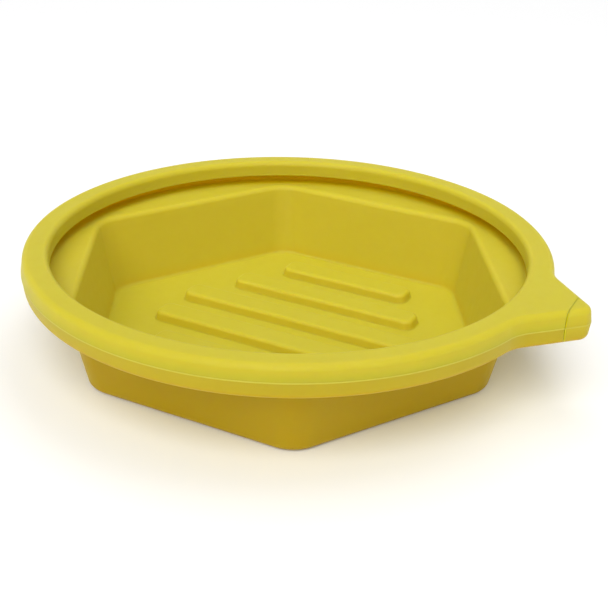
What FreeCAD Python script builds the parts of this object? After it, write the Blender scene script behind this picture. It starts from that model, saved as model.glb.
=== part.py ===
"""Oil drain pan: a six-sided sump hung under a round hollow rim that runs out into a spout.

Frame: millimetres, +Z up, origin at the centre of the sump's flat underside, +X out through
the spout.  The pan is symmetrical about its XZ plane.

Six pieces make it up:
  sump        inner part of the lower shell: ribbed floor, sloping sides, most of the ledge
  rim_trough  outer part of the lower shell: edge of the ledge, skirt and spout up to the seam
  rim_cover   the upper shell: upper half of the skirt, flat rim top, root of the lip
  splash_lip  the band that hangs from the rim cover round the mouth
  seam_bead   the thin bead that fills the V groove where the two shells meet
  spout_tip   the hollow closed end of the spout, plugged into both shells
"""
import FreeCAD, Part
import math
import os
import Sketcher

# Driving sizes: alias, value (millimetres or degrees), what it is.
SIZES = [
    ("wall", 5.0, "thickness of the moulded skin"),
    ("rim_radius", 370.0, "outer radius of the round rim at its seam"),
    ("rim_height", 157.0, "top of the rim above the underside"),
    ("seam_drop", 21.5, "from the rim's top down to the seam between the two shells"),
    ("ledge_drop", 40.5, "from the rim's top down to the ledge round the sump"),
    ("upper_draft", 8.0, "lean of the skirt above the seam, degrees"),
    ("lower_draft", 6.5, "lean of the skirt below the seam, degrees"),
    ("rim_rounding", 9.0, "outer rounding of the rim's top edge"),
    ("skirt_rounding", 9.5, "outer rounding of the skirt's lower edge"),
    ("rim_width", 37.5, "from the rim's outer radius in to the mouth"),
    ("lip_drop", 24.0, "from the rim's top down to the splash lip's lower edge"),
    ("lip_rounding", 8.0, "rounding from the rim's top into the lip"),
    ("lip_edge", 1.2, "rounding of the lip's lower edge"),
    ("lip_root_depth", 10.0, "from the rim's top down to the joint between cover and lip"),
    ("lip_lap", 2.0, "how far the lip's inner half laps up past the joint"),
    ("spout_reach", 70.0, "from the rim out to where the spout's two straight sides would meet"),
    ("spout_half_angle", 45.5, "angle of each straight side to the X axis, degrees"),
    ("tip_rounding", 20.0, "plan rounding of the spout's end"),
    ("neck_rounding", 60.0, "plan rounding between rim and spout"),
    ("tip_length", 32.0, "from that point back to the joint between tip and shells"),
    ("groove_width", 1.6, "width of the groove round that joint"),
    ("groove_depth", 1.2, "depth of the groove round that joint"),
    ("spigot_length", 12.0, "how far the tip plugs into the spout"),
    ("spigot_wall", 2.5, "thickness of the tip's plug"),
    ("spigot_clearance", 0.2, "gap between plug and spout"),
    ("tongue_height", 6.0, "height of the lap tongue at the seam"),
    ("tongue_wall", 2.2, "thickness of the lap tongue"),
    ("lap_clearance", 0.15, "gap round the lap tongue"),
    ("bead_depth", 1.0, "depth of the V groove at the seam"),
    ("bead_proud", 0.5, "how far the bead stands out of the skirt"),
    ("sump_margin", 32.6, "from the rim in to the sump's corners, under the ledge"),
    ("sump_draft", 11.0, "lean of the sump's sides, degrees"),
    ("sump_corner", 48.0, "outer rounding of the sump's upright corners"),
    ("base_rounding", 9.5, "outer rounding of the sump's lower edge"),
    ("shoulder_rounding", 7.0, "rounding from the ledge down into the sump"),
    ("ledge_joint", 25.0, "from the rim in to the joint between sump and trough"),
    ("ledge_lap", 4.0, "how far the sump's upper half laps over the trough there"),
    ("rib_margin", 75.5, "from the outermost rib's centre line to the sump's side"),
    ("rib_height", 14.0, "height of a rib above the floor"),
    ("rib_foot", 44.0, "width of a rib at the floor"),
    ("rib_lean", 3.0, "how far each side of a rib leans in at its top"),
    ("rib_end_gap", 86.0, "from a rib's end to the sump's side, along X"),
    ("rib_corner", 16.0, "plan rounding of a rib's foot corners"),
    ("rib_rounding", 6.0, "rounding of a rib's upper edge"),
    ("rib_fillet", 2.5, "rounding between a rib and the floor"),
]

# How many ribs lie on each side of the pan's centre line.
RIBS_PER_SIDE = 3

# Heights of horizontal faces, as sheet expressions.
UNDERSIDE = "0"
FLOOR = "Sizes.wall"
RIB_TOP = "(Sizes.wall + Sizes.rib_height)"
RIM_TOP = "Sizes.rim_height"
SEAM = f"({RIM_TOP} - Sizes.seam_drop)"
LIP_BOTTOM = f"({RIM_TOP} - Sizes.lip_drop)"
LEDGE_UNDERSIDE = f"({RIM_TOP} - Sizes.ledge_drop - Sizes.wall)"

# Places in plan, as sheet expressions.
LEDGE_JOINT = "(Sizes.rim_radius - Sizes.ledge_joint)"
MOUTH_RADIUS = "(Sizes.rim_radius - Sizes.rim_width)"
SPOUT_POINT = "(Sizes.rim_radius + Sizes.spout_reach)"
TIP_JOINT = f"({SPOUT_POINT} - Sizes.tip_length)"
SUMP_LEAN = f"{LEDGE_UNDERSIDE} * tan(Sizes.sump_draft * 1deg)"
SUMP_APOTHEM = f"((Sizes.rim_radius - Sizes.sump_margin) * cos(30deg) - {SUMP_LEAN})"
RIB_PITCH = f"(({SUMP_APOTHEM} - Sizes.rib_margin) / ({RIBS_PER_SIDE} - 0.5))"

TOLERANCE = 0.01


def make_sheet(doc):
    """Put the driving sizes in a spreadsheet, one row each."""
    sheet = doc.addObject("Spreadsheet::Sheet", "Sizes")
    for row, (alias, value, note) in enumerate(SIZES, start=1):
        sheet.set(f"A{row}", alias)
        sheet.set(f"B{row}", str(value))
        sheet.set(f"C{row}", note)
        sheet.setAlias(f"B{row}", alias)
    doc.recompute()
    return sheet


def value_of(expression):
    """The number that a sheet expression gives now."""
    result = doc.Sizes.evalExpression(expression)
    return float(getattr(result, "Value", result))


def make_body(label):
    """A new body whose label names its piece."""
    body = doc.addObject("PartDesign::Body", label)
    body.Label = label
    return body


def origin_plane(body, role):
    """One of the body's own three origin planes."""
    return next(item for item in body.Origin.OriginFeatures if item.Role == role)


def flat_sketch(body, name, height):
    """An empty sketch that lies level at the given height."""
    sketch = body.newObject("Sketcher::SketchObject", name)
    sketch.AttachmentSupport = [(origin_plane(body, "XY_Plane"), "")]
    sketch.MapMode = "FlatFace"
    sketch.setExpression("AttachmentOffset.Base.z", height)
    return sketch


def size(sketch, kind, *where, name, expression):
    """Add a named size to a sketch and bind it to the sheet."""
    start = value_of(expression)
    if kind == "Angle":
        start = math.radians(start)
    index = sketch.addConstraint(Sketcher.Constraint(kind, *where, start))
    sketch.renameConstraint(index, name)
    sketch.setExpression(f"Constraints.{name}", expression)


def tie(sketch, kind, *where):
    """Add a constraint that has no size."""
    sketch.addConstraint(Sketcher.Constraint(kind, *where))


def vector(x, y):
    return FreeCAD.Vector(x, y, 0)


def polar(radius, angle):
    return vector(radius * math.cos(angle), radius * math.sin(angle))


def arc(centre, radius, start, end):
    """An anticlockwise arc in the sketch plane, angles in radians."""
    circle = Part.Circle(centre, FreeCAD.Vector(0, 0, 1), radius)
    return Part.ArcOfCircle(circle, start, end)


def outline(body, name, inset, height):
    """The plan of rim and spout, drawn inside the skirt's seam line by the inset.

    The round rim, two neck arcs that bend away from it, two straight spout sides and the
    rounded end all meet tangentially.  Insetting keeps every centre where it is.
    """
    sketch = flat_sketch(body, name, height)
    gap = value_of(inset)
    half = math.radians(value_of("Sizes.spout_half_angle"))
    rim = value_of("Sizes.rim_radius")
    neck = value_of("Sizes.neck_rounding")
    tip = value_of("Sizes.tip_rounding")
    reach = value_of(SPOUT_POINT)

    bearing = math.asin((neck + reach * math.sin(half)) / (rim + neck)) - half
    outward = vector(math.sin(half), math.cos(half))
    neck_centre = polar(rim + neck, bearing)
    tip_centre = vector(reach - tip / math.sin(half), 0)
    side_start = neck_centre - outward * (neck + gap)
    side_end = tip_centre + outward * (tip - gap)

    def mirrored(point):
        return vector(point.x, -point.y)

    sketch.addGeometry(arc(vector(0, 0), rim - gap, bearing, 2 * math.pi - bearing))
    sketch.addGeometry(arc(mirrored(neck_centre), neck + gap, math.pi / 2 + half, math.pi - bearing))
    sketch.addGeometry(Part.LineSegment(mirrored(side_start), mirrored(side_end)))
    sketch.addGeometry(arc(tip_centre, tip - gap, half - math.pi / 2, math.pi / 2 - half))
    sketch.addGeometry(Part.LineSegment(side_end, side_start))
    sketch.addGeometry(arc(neck_centre, neck + gap, math.pi + bearing, 1.5 * math.pi - half))

    tie(sketch, "Coincident", 0, 3, -1, 1)
    tie(sketch, "PointOnObject", 3, 3, -1)
    tie(sketch, "Tangent", 0, 2, 1, 2)
    tie(sketch, "Tangent", 1, 1, 2, 1)
    tie(sketch, "Tangent", 2, 2, 3, 1)
    tie(sketch, "Tangent", 3, 2, 4, 1)
    tie(sketch, "Tangent", 4, 2, 5, 2)
    tie(sketch, "Tangent", 5, 1, 0, 1)
    tie(sketch, "Equal", 1, 5)
    size(sketch, "Radius", 0, name="Rim", expression=f"Sizes.rim_radius - ({inset})")
    size(sketch, "Radius", 5, name="Neck", expression=f"Sizes.neck_rounding + ({inset})")
    size(sketch, "Radius", 3, name="Tip", expression=f"Sizes.tip_rounding - ({inset})")
    centre = f"{SPOUT_POINT} - Sizes.tip_rounding / sin(Sizes.spout_half_angle * 1deg)"
    size(sketch, "DistanceX", -1, 1, 3, 3, name="TipCentre", expression=centre)
    size(sketch, "Angle", 2, name="LowerSide", expression="Sizes.spout_half_angle * 1deg")
    size(sketch, "Angle", 4, name="UpperSide", expression="180deg - Sizes.spout_half_angle * 1deg")
    return sketch


def rounded_loop(sketch, centres, bend, first):
    """Equal arcs about the centres, joined by lines that touch them.

    The loop runs anticlockwise and its first arc starts at the given angle.
    """
    turn = 2 * math.pi / len(centres)
    count = 2 * len(centres)
    for number, centre in enumerate(centres):
        start = first + turn * number
        touching = polar(bend, start + turn)
        following = centres[(number + 1) % len(centres)]
        sketch.addGeometry(arc(centre, bend, start, start + turn))
        sketch.addGeometry(Part.LineSegment(centre + touching, following + touching))
    for index in range(0, count, 2):
        tie(sketch, "Tangent", index, 2, index + 1, 1)
        tie(sketch, "Tangent", index + 1, 2, (index + 2) % count, 1)
    for index in range(2, count, 2):
        tie(sketch, "Equal", 0, index)


def hexagon(body, name, apothem, corner, height):
    """A regular hexagon with rounded corners, one of them on the X axis."""
    sketch = flat_sketch(body, name, height)
    bend = value_of(corner)
    reach = (value_of(apothem) - bend) / math.cos(math.pi / 6)
    turn = math.pi / 3
    centres = [polar(reach, turn * number) for number in range(6)]
    rounded_loop(sketch, centres, bend, -turn / 2)
    ring = sketch.addGeometry(Part.Circle(vector(0, 0), FreeCAD.Vector(0, 0, 1), reach), True)
    for number in range(6):
        tie(sketch, "PointOnObject", 2 * number, 3, ring)
    for number in range(1, 6):
        tie(sketch, "Equal", 1, 2 * number + 1)
    tie(sketch, "Coincident", ring, 3, -1, 1)
    tie(sketch, "PointOnObject", 0, 3, -1)
    size(sketch, "Radius", 0, name="Corner", expression=corner)
    size(sketch, "Radius", ring, name="Reach", expression=f"({apothem} - ({corner})) / cos(30deg)")
    return sketch


def bar(body, name, centre, half_length, width, corner, height):
    """A long rectangle with rounded corners, parallel to the X axis."""
    sketch = flat_sketch(body, name, height)
    bend = value_of(corner)
    along = value_of(half_length) - bend
    across = value_of(width) / 2 - bend
    middle = value_of(centre)
    centres = [
        vector(along, middle - across),
        vector(along, middle + across),
        vector(-along, middle + across),
        vector(-along, middle - across),
    ]
    rounded_loop(sketch, centres, bend, -math.pi / 2)
    tie(sketch, "Vertical", 1)
    tie(sketch, "Horizontal", 7)
    tie(sketch, "Symmetric", 1, 1, 5, 2, -2)
    size(sketch, "Radius", 0, name="Corner", expression=corner)
    size(sketch, "DistanceX", 5, 1, 1, 2, name="Length", expression=f"2 * ({half_length})")
    size(sketch, "DistanceY", 7, 1, 3, 2, name="Width", expression=width)
    size(sketch, "DistanceY", -1, 1, 7, 1, name="Place", expression=f"({centre}) - ({width}) / 2")
    return sketch


def ring_sketch(body, name, radius, height):
    """One circle about the Z axis."""
    sketch = flat_sketch(body, name, height)
    circle = Part.Circle(vector(0, 0), FreeCAD.Vector(0, 0, 1), value_of(radius))
    index = sketch.addGeometry(circle)
    tie(sketch, "Coincident", index, 3, -1, 1)
    size(sketch, "Radius", index, name="Radius", expression=radius)
    return sketch


def loft(body, kind, name, sections):
    """A straight-sided loft through level sections from the top down, added or taken away."""
    before = body.Shape.Volume if body.Tip else 0.0
    feature = body.newObject(f"PartDesign::{kind}Loft", name)
    feature.Profile = sections[0]
    feature.Sections = sections[1:]
    feature.Ruled = True
    doc.recompute()
    check_step(body, feature, before, grows=kind == "Additive")
    return feature


def extrude(body, kind, name, sketch, length, upwards):
    """Pad or pocket a level sketch, up or down."""
    before = body.Shape.Volume
    feature = body.newObject(f"PartDesign::{kind}", name)
    feature.Profile = sketch
    feature.setExpression("Length", length)
    feature.Reversed = upwards == (kind == "Pocket")
    doc.recompute()
    check_step(body, feature, before, grows=kind == "Pad")
    return feature


def check_feature(body, feature):
    """Stop if a feature failed or left its body invalid."""
    if "Invalid" in feature.State or "Error" in feature.State or not body.Shape.isValid():
        raise RuntimeError(f"{body.Label}: {feature.Name} failed")


def check_step(body, feature, before, grows):
    """Stop if a feature failed or didn't add or take away as it should."""
    check_feature(body, feature)
    change = body.Shape.Volume - before
    if abs(change) < TOLERANCE or (change > 0) != grows:
        raise RuntimeError(f"{body.Label}: {feature.Name} changed the volume by {change:.2f}")


def edge_names(body, test):
    """Names of the body's edges for which the test holds."""
    names = [f"Edge{number}" for number, edge in enumerate(body.Shape.Edges, start=1) if test(edge)]
    if not names:
        raise RuntimeError(f"{body.Label}: no edge found")
    return names


def level_at(height, outer=math.inf):
    """A test for level edges at a height, within a distance of the Z axis."""
    level = value_of(height)

    def test(edge):
        box = edge.BoundBox
        if abs(box.ZMin - level) > TOLERANCE or abs(box.ZMax - level) > TOLERANCE:
            return False
        middle = edge.valueAt((edge.FirstParameter + edge.LastParameter) / 2)
        return math.hypot(middle.x, middle.y) < outer

    return test


def fillet(body, name, test, radius):
    """Round the edges that pass the test."""
    base = body.Tip
    feature = body.newObject("PartDesign::Fillet", name)
    feature.Base = (base, edge_names(body, test))
    feature.setExpression("Radius", radius)
    doc.recompute()
    check_feature(body, feature)
    return feature


def chamfer(body, name, test, leg):
    """Bevel the edges that pass the test."""
    base = body.Tip
    feature = body.newObject("PartDesign::Chamfer", name)
    feature.Base = (base, edge_names(body, test))
    feature.setExpression("Size", leg)
    doc.recompute()
    check_feature(body, feature)
    return feature


def inner_rounding(rounding, inset):
    """Rounding of a skin that far inside, never sharper than a tenth of the wall."""
    return f"max({rounding} - ({inset}); Sizes.wall / 10)"


def upper_inset(inset):
    """Inset of the skirt's plan at the rim's top for a skin that far inside."""
    rise = f"(Sizes.seam_drop - ({inset}))"
    return f"({inset}) + {rise} * tan(Sizes.upper_draft * 1deg)"


def lower_inset(inset):
    """Inset of the skirt's plan at the ledge for a skin that far inside."""
    drop = f"({SEAM} - {LEDGE_UNDERSIDE} - ({inset}))"
    return f"({inset}) + {drop} * tan(Sizes.lower_draft * 1deg)"


def sump_inset(height, inset):
    """Apothem of the sump at a height for a skin that far inside."""
    lean = "Sizes.sump_draft * 1deg"
    return f"{SUMP_APOTHEM} + ({height}) * tan({lean}) - ({inset}) / cos({lean})"


def upper_block(body, kind, prefix, inset):
    """The rim above the seam, solid, drawn that far inside its outer skin."""
    roof = f"{RIM_TOP} - ({inset})"
    sections = [
        outline(body, f"{prefix}_roof_plan", upper_inset(inset), roof),
        outline(body, f"{prefix}_seam_plan", inset, SEAM),
    ]
    loft(body, kind, f"{prefix}_upper_block", sections)
    fillet(body, f"{prefix}_roof_rounding", level_at(roof), inner_rounding("Sizes.rim_rounding", inset))


def lower_block(body, kind, prefix, inset):
    """The rim below the seam, solid, drawn that far inside its outer skin."""
    under = f"{LEDGE_UNDERSIDE} + ({inset})"
    sections = [
        outline(body, f"{prefix}_joint_plan", inset, SEAM),
        outline(body, f"{prefix}_under_plan", lower_inset(inset), under),
    ]
    loft(body, kind, f"{prefix}_lower_block", sections)
    rounding = inner_rounding("Sizes.skirt_rounding", inset)
    fillet(body, f"{prefix}_under_rounding", level_at(under), rounding)


def sump_block(body, kind, prefix, inset):
    """The sump, solid, drawn that far inside its outer skin."""
    low = inset
    high = f"{LEDGE_UNDERSIDE} + ({inset})"
    corner = f"Sizes.sump_corner - ({inset})"
    sections = [
        hexagon(body, f"{prefix}_high_hexagon", sump_inset(high, inset), corner, high),
        hexagon(body, f"{prefix}_low_hexagon", sump_inset(low, inset), corner, low),
    ]
    loft(body, kind, f"{prefix}_sump_block", sections)
    fillet(body, f"{prefix}_base_rounding", level_at(low), inner_rounding("Sizes.base_rounding", inset))
    inside = value_of(f"Sizes.rim_radius - {lower_inset(inset)} - Sizes.skirt_rounding + ({inset})")
    shoulder = f"Sizes.shoulder_rounding - Sizes.wall + ({inset})"
    fillet(body, f"{prefix}_shoulder", level_at(high, outer=inside - TOLERANCE), shoulder)


def rib_places():
    """Centre line and half-length of each rib, as sheet expressions."""
    reach = f"({sump_inset(FLOOR, FLOOR)}) / cos(30deg)"
    for step in range(-RIBS_PER_SIDE, RIBS_PER_SIDE):
        centre = f"{step + 0.5} * {RIB_PITCH}"
        half_length = f"{reach} - abs({centre}) * tan(30deg) - Sizes.rib_end_gap"
        yield centre, half_length


def rib_block(body, kind, number, low, high, inset, centre, half_length):
    """One rib, or the hollow under it, as a tapered bar with rounded corners."""
    sections = []
    for part, shrink, height in (("crest", f"{inset} + Sizes.rib_lean", high), ("foot", inset, low)):
        name = f"rib_{kind}_{number}_{part}"
        width = f"Sizes.rib_foot - 2 * ({shrink})"
        corner = inner_rounding("Sizes.rib_corner", shrink)
        sections.append(bar(body, name, centre, f"{half_length} - ({shrink})", width, corner, height))
    loft(body, kind, f"rib_{kind}_{number}", sections)


def floor_ribs(body):
    """Six bars that stand on the floor, hollow underneath so that the skin stays even."""
    for number, (centre, half_length) in enumerate(rib_places()):
        rib_block(body, "Additive", number, FLOOR, RIB_TOP, "0", centre, half_length)
    reach = value_of(f"{SUMP_APOTHEM} - Sizes.base_rounding")
    fillet(body, "rib_rounding", level_at(RIB_TOP, outer=reach), "Sizes.rib_rounding")
    fillet(body, "rib_fillet", rib_feet(), "Sizes.rib_fillet")
    under_rib = f"{RIB_TOP} - Sizes.wall"
    for number, (centre, half_length) in enumerate(rib_places()):
        rib_block(body, "Subtractive", number, UNDERSIDE, under_rib, "Sizes.wall", centre, half_length)
    fillet(body, "rib_hollow_rounding", level_at(under_rib, outer=reach), "Sizes.rib_fillet")


def rib_feet():
    """A test for the ribs' edges at the floor, which lie well inside the sump's sides."""
    on_floor = level_at(FLOOR)
    rows = [(abs(value_of(centre)), value_of(half_length)) for centre, half_length in rib_places()]
    half_foot = value_of("Sizes.rib_foot") / 2

    def test(edge):
        middle = edge.valueAt((edge.FirstParameter + edge.LastParameter) / 2)
        near = (
            abs(abs(middle.y) - row) < half_foot + TOLERANCE and abs(middle.x) < reach + TOLERANCE
            for row, reach in rows
        )
        return on_floor(edge) and any(near)

    return test


def outer_loop(body, height):
    """A test for the outermost edges of the body's level face at a height."""
    level = value_of(height)
    loop = []
    for face in body.Shape.Faces:
        box = face.BoundBox
        if abs(box.ZMin - level) < TOLERANCE and abs(box.ZMax - level) < TOLERANCE:
            loop.extend(face.OuterWire.Edges)
    return lambda edge: any(edge.isSame(other) for other in loop)


def spout_half_width(back):
    """Half the spout's width and a wall more, at a distance back from its point."""
    return f"(({back}) * tan(Sizes.spout_half_angle * 1deg) + Sizes.wall)"


def cut_off_tip(body, low, high):
    """Take away everything beyond the groove in front of the spout's tip."""
    sketch = flat_sketch(body, "tip_cut_plan", low)
    near = f"{TIP_JOINT} - Sizes.groove_width / 2"
    far = SPOUT_POINT
    width = f"2 * {spout_half_width('Sizes.tip_length + Sizes.groove_width')}"
    side = value_of(width) / 2
    start = value_of(near)
    end = value_of(far)
    corners = [vector(start, -side), vector(end, -side), vector(end, side), vector(start, side)]
    for number, corner in enumerate(corners):
        sketch.addGeometry(Part.LineSegment(corner, corners[(number + 1) % 4]))
    for number in range(4):
        tie(sketch, "Coincident", number, 2, (number + 1) % 4, 1)
    tie(sketch, "Horizontal", 0)
    tie(sketch, "Horizontal", 2)
    tie(sketch, "Vertical", 1)
    tie(sketch, "Symmetric", 3, 1, 3, 2, -1)
    size(sketch, "DistanceX", -1, 1, 0, 1, name="Near", expression=near)
    size(sketch, "DistanceX", -1, 1, 0, 2, name="Far", expression=far)
    size(sketch, "DistanceY", 1, 1, 1, 2, name="Width", expression=width)
    extrude(body, "Pocket", "tip_cut", sketch, f"({high}) - ({low})", upwards=True)


def lower_shell():
    """Sump, ledge and the skirt and spout up to the seam, with a lap tongue, in one piece."""
    body = make_body("lower_shell")
    lower_block(body, "Additive", "outer", "0")
    sump_block(body, "Additive", "outer", "0")
    lower_block(body, "Subtractive", "inner", "Sizes.wall")
    sump_block(body, "Subtractive", "inner", "Sizes.wall")
    floor_ribs(body)
    chamfer(body, "seam_bevel", outer_loop(body, SEAM), "Sizes.bead_depth")
    tongue = outline(body, "tongue_plan", "Sizes.wall - Sizes.tongue_wall", SEAM)
    extrude(body, "Pad", "tongue", tongue, "Sizes.tongue_height", upwards=True)
    hollow = outline(body, "tongue_hollow_plan", "Sizes.wall", SEAM)
    extrude(body, "Pocket", "tongue_hollow", hollow, "Sizes.tongue_height", upwards=True)
    cut_off_tip(body, LEDGE_UNDERSIDE, f"{SEAM} + Sizes.tongue_height")
    return body


def disc(label, radius, low, high):
    """An upright cylinder about the Z axis between two heights."""
    cylinder = doc.addObject("Part::Cylinder", label)
    cylinder.setExpression("Radius", radius)
    cylinder.setExpression("Height", f"({high}) - ({low})")
    cylinder.setExpression("Placement.Base.z", low)
    return cylinder


def parted(shell, core_discs, inner_name, outer_name):
    """A shell parted by a core of two discs, which leaves a stepped joint between its halves."""
    core = boolean("Fuse", f"{inner_name}_core", *core_discs)
    return [boolean("Common", inner_name, shell, core), boolean("Cut", outer_name, shell, core)]


def sump_and_trough():
    """The lower shell parted round its ledge, with a step half-way up the skin."""
    step = f"{LEDGE_UNDERSIDE} + Sizes.wall / 2"
    discs = [
        disc("ledge_core_below", LEDGE_JOINT, UNDERSIDE, RIM_TOP),
        disc("ledge_core_above", f"{LEDGE_JOINT} + Sizes.ledge_lap", step, RIM_TOP),
    ]
    return parted(lower_shell(), discs, "sump", "rim_trough")


def lip_and_cover():
    """The upper shell parted just under its roof, with a step half-way through the lip."""
    joint = f"({RIM_TOP} - Sizes.lip_root_depth)"
    discs = [
        disc("lip_core_outer", f"{MOUTH_RADIUS} + 2 * Sizes.wall", UNDERSIDE, joint),
        disc("lip_core_inner", f"{MOUTH_RADIUS} + Sizes.wall / 2", UNDERSIDE, f"{joint} + Sizes.lip_lap"),
    ]
    return parted(upper_shell(), discs, "splash_lip", "rim_cover")


def upper_shell():
    """Skirt above the seam, flat rim top and the lip that hangs inside it, in one piece."""
    body = make_body("upper_shell")
    upper_block(body, "Additive", "outer", "0")
    upper_block(body, "Subtractive", "inner", "Sizes.wall")
    chamfer(body, "seam_bevel", outer_loop(body, SEAM), "Sizes.bead_depth")
    inset = "Sizes.wall - Sizes.tongue_wall - Sizes.lap_clearance"
    rebate = outline(body, "rebate_plan", inset, SEAM)
    depth = "Sizes.tongue_height + Sizes.lap_clearance"
    extrude(body, "Pocket", "rebate", rebate, depth, upwards=True)
    lip_outside = f"{MOUTH_RADIUS} + Sizes.wall"
    ring = ring_sketch(body, "lip_plan", lip_outside, LIP_BOTTOM)
    extrude(body, "Pad", "lip", ring, "Sizes.lip_drop", upwards=True)
    mouth = ring_sketch(body, "mouth_plan", MOUTH_RADIUS, LIP_BOTTOM)
    extrude(body, "Pocket", "mouth", mouth, "Sizes.lip_drop", upwards=True)
    outside = value_of(lip_outside) + TOLERANCE
    fillet(body, "lip_rounding", level_at(RIM_TOP, outer=outside), "Sizes.lip_rounding")
    under_roof = level_at(f"{RIM_TOP} - Sizes.wall", outer=outside)
    fillet(body, "lip_root", under_roof, inner_rounding("Sizes.lip_rounding", "Sizes.wall"))
    fillet(body, "lip_edge", level_at(LIP_BOTTOM), "Sizes.lip_edge")
    cut_off_tip(body, SEAM, RIM_TOP)
    return body


def seam_bead():
    """The bead in the V groove: two bevels' faces inside, a low ridge outside."""
    body = make_body("seam_bead")
    leg = "Sizes.bead_depth"
    upper = f"{leg} * sin(Sizes.upper_draft * 1deg)"
    upper_height = f"{SEAM} + {leg} * cos(Sizes.upper_draft * 1deg)"
    lower = f"{leg} * sin(Sizes.lower_draft * 1deg)"
    lower_height = f"{SEAM} - {leg} * cos(Sizes.lower_draft * 1deg)"
    for kind, middle in (("Additive", "-Sizes.bead_proud"), ("Subtractive", leg)):
        sections = [
            outline(body, f"{kind}_high_plan", upper, upper_height),
            outline(body, f"{kind}_middle_plan", middle, SEAM),
            outline(body, f"{kind}_low_plan", lower, lower_height),
        ]
        loft(body, kind, f"{kind}_bead", sections)
    return body


def rim_form(label, inset):
    """The whole rim and spout as one solid, drawn that far inside its outer skin."""
    body = make_body(label)
    upper_block(body, "Additive", "form", inset)
    lower_block(body, "Additive", "form", inset)
    return body


def slab(label, start, end):
    """A box across the spout between two places along X."""
    box = doc.addObject("Part::Box", label)
    half_width = spout_half_width("Sizes.tip_length + Sizes.groove_width + Sizes.spigot_length")
    box.setExpression("Length", f"({end}) - ({start})")
    box.setExpression("Width", f"2 * {half_width}")
    box.setExpression("Height", RIM_TOP)
    box.setExpression("Placement.Base.x", start)
    box.setExpression("Placement.Base.y", f"-{half_width}")
    return box


def boolean(kind, label, base, tool):
    """A common, fused or cut shape of two objects."""
    result = doc.addObject(f"Part::{kind}", label)
    result.Label = label
    result.Base = base
    result.Tool = tool
    doc.recompute()
    return result


def spout_tip(bead):
    """Closed end of the spout: skin, groove neck and hollow plug one behind the other.

    The bead runs on round the tip, so the tip has the same V groove as the two shells.
    """
    front = f"{TIP_JOINT} + Sizes.groove_width / 2"
    rear = f"{TIP_JOINT} - Sizes.groove_width / 2"
    plug_inset = "Sizes.wall + Sizes.spigot_clearance"
    stretches = [
        ("tip_skin", "0", front, SPOUT_POINT),
        ("tip_neck", "Sizes.groove_depth", rear, front),
        ("tip_plug", plug_inset, f"{rear} - Sizes.spigot_length", rear),
    ]
    whole = None
    for label, inset, start, end in stretches:
        form = rim_form(f"{label}_form", inset)
        stretch = boolean("Common", label, form, slab(f"{label}_slab", start, end))
        whole = boolean("Fuse", f"{label}_joined", whole, stretch) if whole else stretch
    hollow = rim_form("tip_hollow_form", f"{plug_inset} + Sizes.spigot_wall")
    grooved = boolean("Cut", "tip_grooved", whole, bead)
    return boolean("Cut", "spout_tip", grooved, hollow)


def check_document():
    """Stop if any object of the document failed."""
    for item in doc.Objects:
        if "Invalid" in item.State or "Error" in item.State:
            raise RuntimeError(f"{item.Name} failed")


def export(pieces):
    """Write each piece's solid to a file named after its label."""
    os.makedirs("parts", exist_ok=True)
    for piece in pieces:
        shape = piece.Shape
        if shape.isNull() or not shape.isValid() or len(shape.Solids) != 1:
            raise RuntimeError(f"{piece.Label} is not one valid solid")
        shape.exportStep(f"parts/{piece.Label}.step")
        print(f"{piece.Label}: {shape.Volume / 1000:.1f} cm3")


doc = FreeCAD.newDocument("oil_drain_pan")
make_sheet(doc)
bead = seam_bead()
pieces = [*sump_and_trough(), *lip_and_cover(), bead, spout_tip(bead)]
doc.recompute()
check_document()
export(pieces)
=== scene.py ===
import math
from operator import itemgetter

import bmesh
import bpy
import numpy as np
from mathutils import Matrix, Vector
from mathutils.geometry import delaunay_2d_cdt


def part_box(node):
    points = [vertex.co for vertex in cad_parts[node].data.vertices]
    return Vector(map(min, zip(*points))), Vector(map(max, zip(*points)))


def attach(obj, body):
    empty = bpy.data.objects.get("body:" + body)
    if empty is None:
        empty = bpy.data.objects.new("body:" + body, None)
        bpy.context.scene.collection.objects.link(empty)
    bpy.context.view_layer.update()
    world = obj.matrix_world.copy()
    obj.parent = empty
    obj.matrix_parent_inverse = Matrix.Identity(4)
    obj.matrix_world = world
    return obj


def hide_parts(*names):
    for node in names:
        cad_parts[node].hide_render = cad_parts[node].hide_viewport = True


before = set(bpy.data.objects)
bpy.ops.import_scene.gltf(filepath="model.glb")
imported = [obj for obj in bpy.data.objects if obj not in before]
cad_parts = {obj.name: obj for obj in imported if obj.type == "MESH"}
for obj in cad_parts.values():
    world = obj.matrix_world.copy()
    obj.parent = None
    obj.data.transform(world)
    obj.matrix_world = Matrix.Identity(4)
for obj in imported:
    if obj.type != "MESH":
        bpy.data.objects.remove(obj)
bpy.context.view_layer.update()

# Sizes of the moulding in metres, angles in radians. They follow the CAD part.
WALL = 0.005
RIM_RADIUS = 0.370
RIM_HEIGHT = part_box("rim_cover")[1].z
SEAM_HEIGHT = 0.1355
LEDGE_HEIGHT = 0.1165
LEDGE_UNDERSIDE = LEDGE_HEIGHT - WALL
UPPER_DRAFT = math.radians(8.0)
LOWER_DRAFT = math.radians(6.5)
RIM_ROUNDING = 0.009
SKIRT_ROUNDING = 0.0095
LIP_RADIUS = 0.3325
LIP_BOTTOM = 0.133
LIP_ROUNDING = 0.008
SPOUT_REACH = 0.440
SPOUT_HALF_ANGLE = math.radians(45.5)
TIP_ROUNDING = 0.020
NECK_ROUNDING = 0.060
TIP_JOINT = 0.408
GROOVE_WIDTH = 0.0008    # narrower than drawn, as its edges are softened too
GROOVE_SHOWN = 0.0005   # the groove across the roof, softened by the moulding
SPIGOT_LENGTH = 0.012
SPIGOT_WALL = 0.0025
SPIGOT_CLEARANCE = 0.0002
TONGUE_HEIGHT = 0.006
TONGUE_WALL = 0.0022
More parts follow.
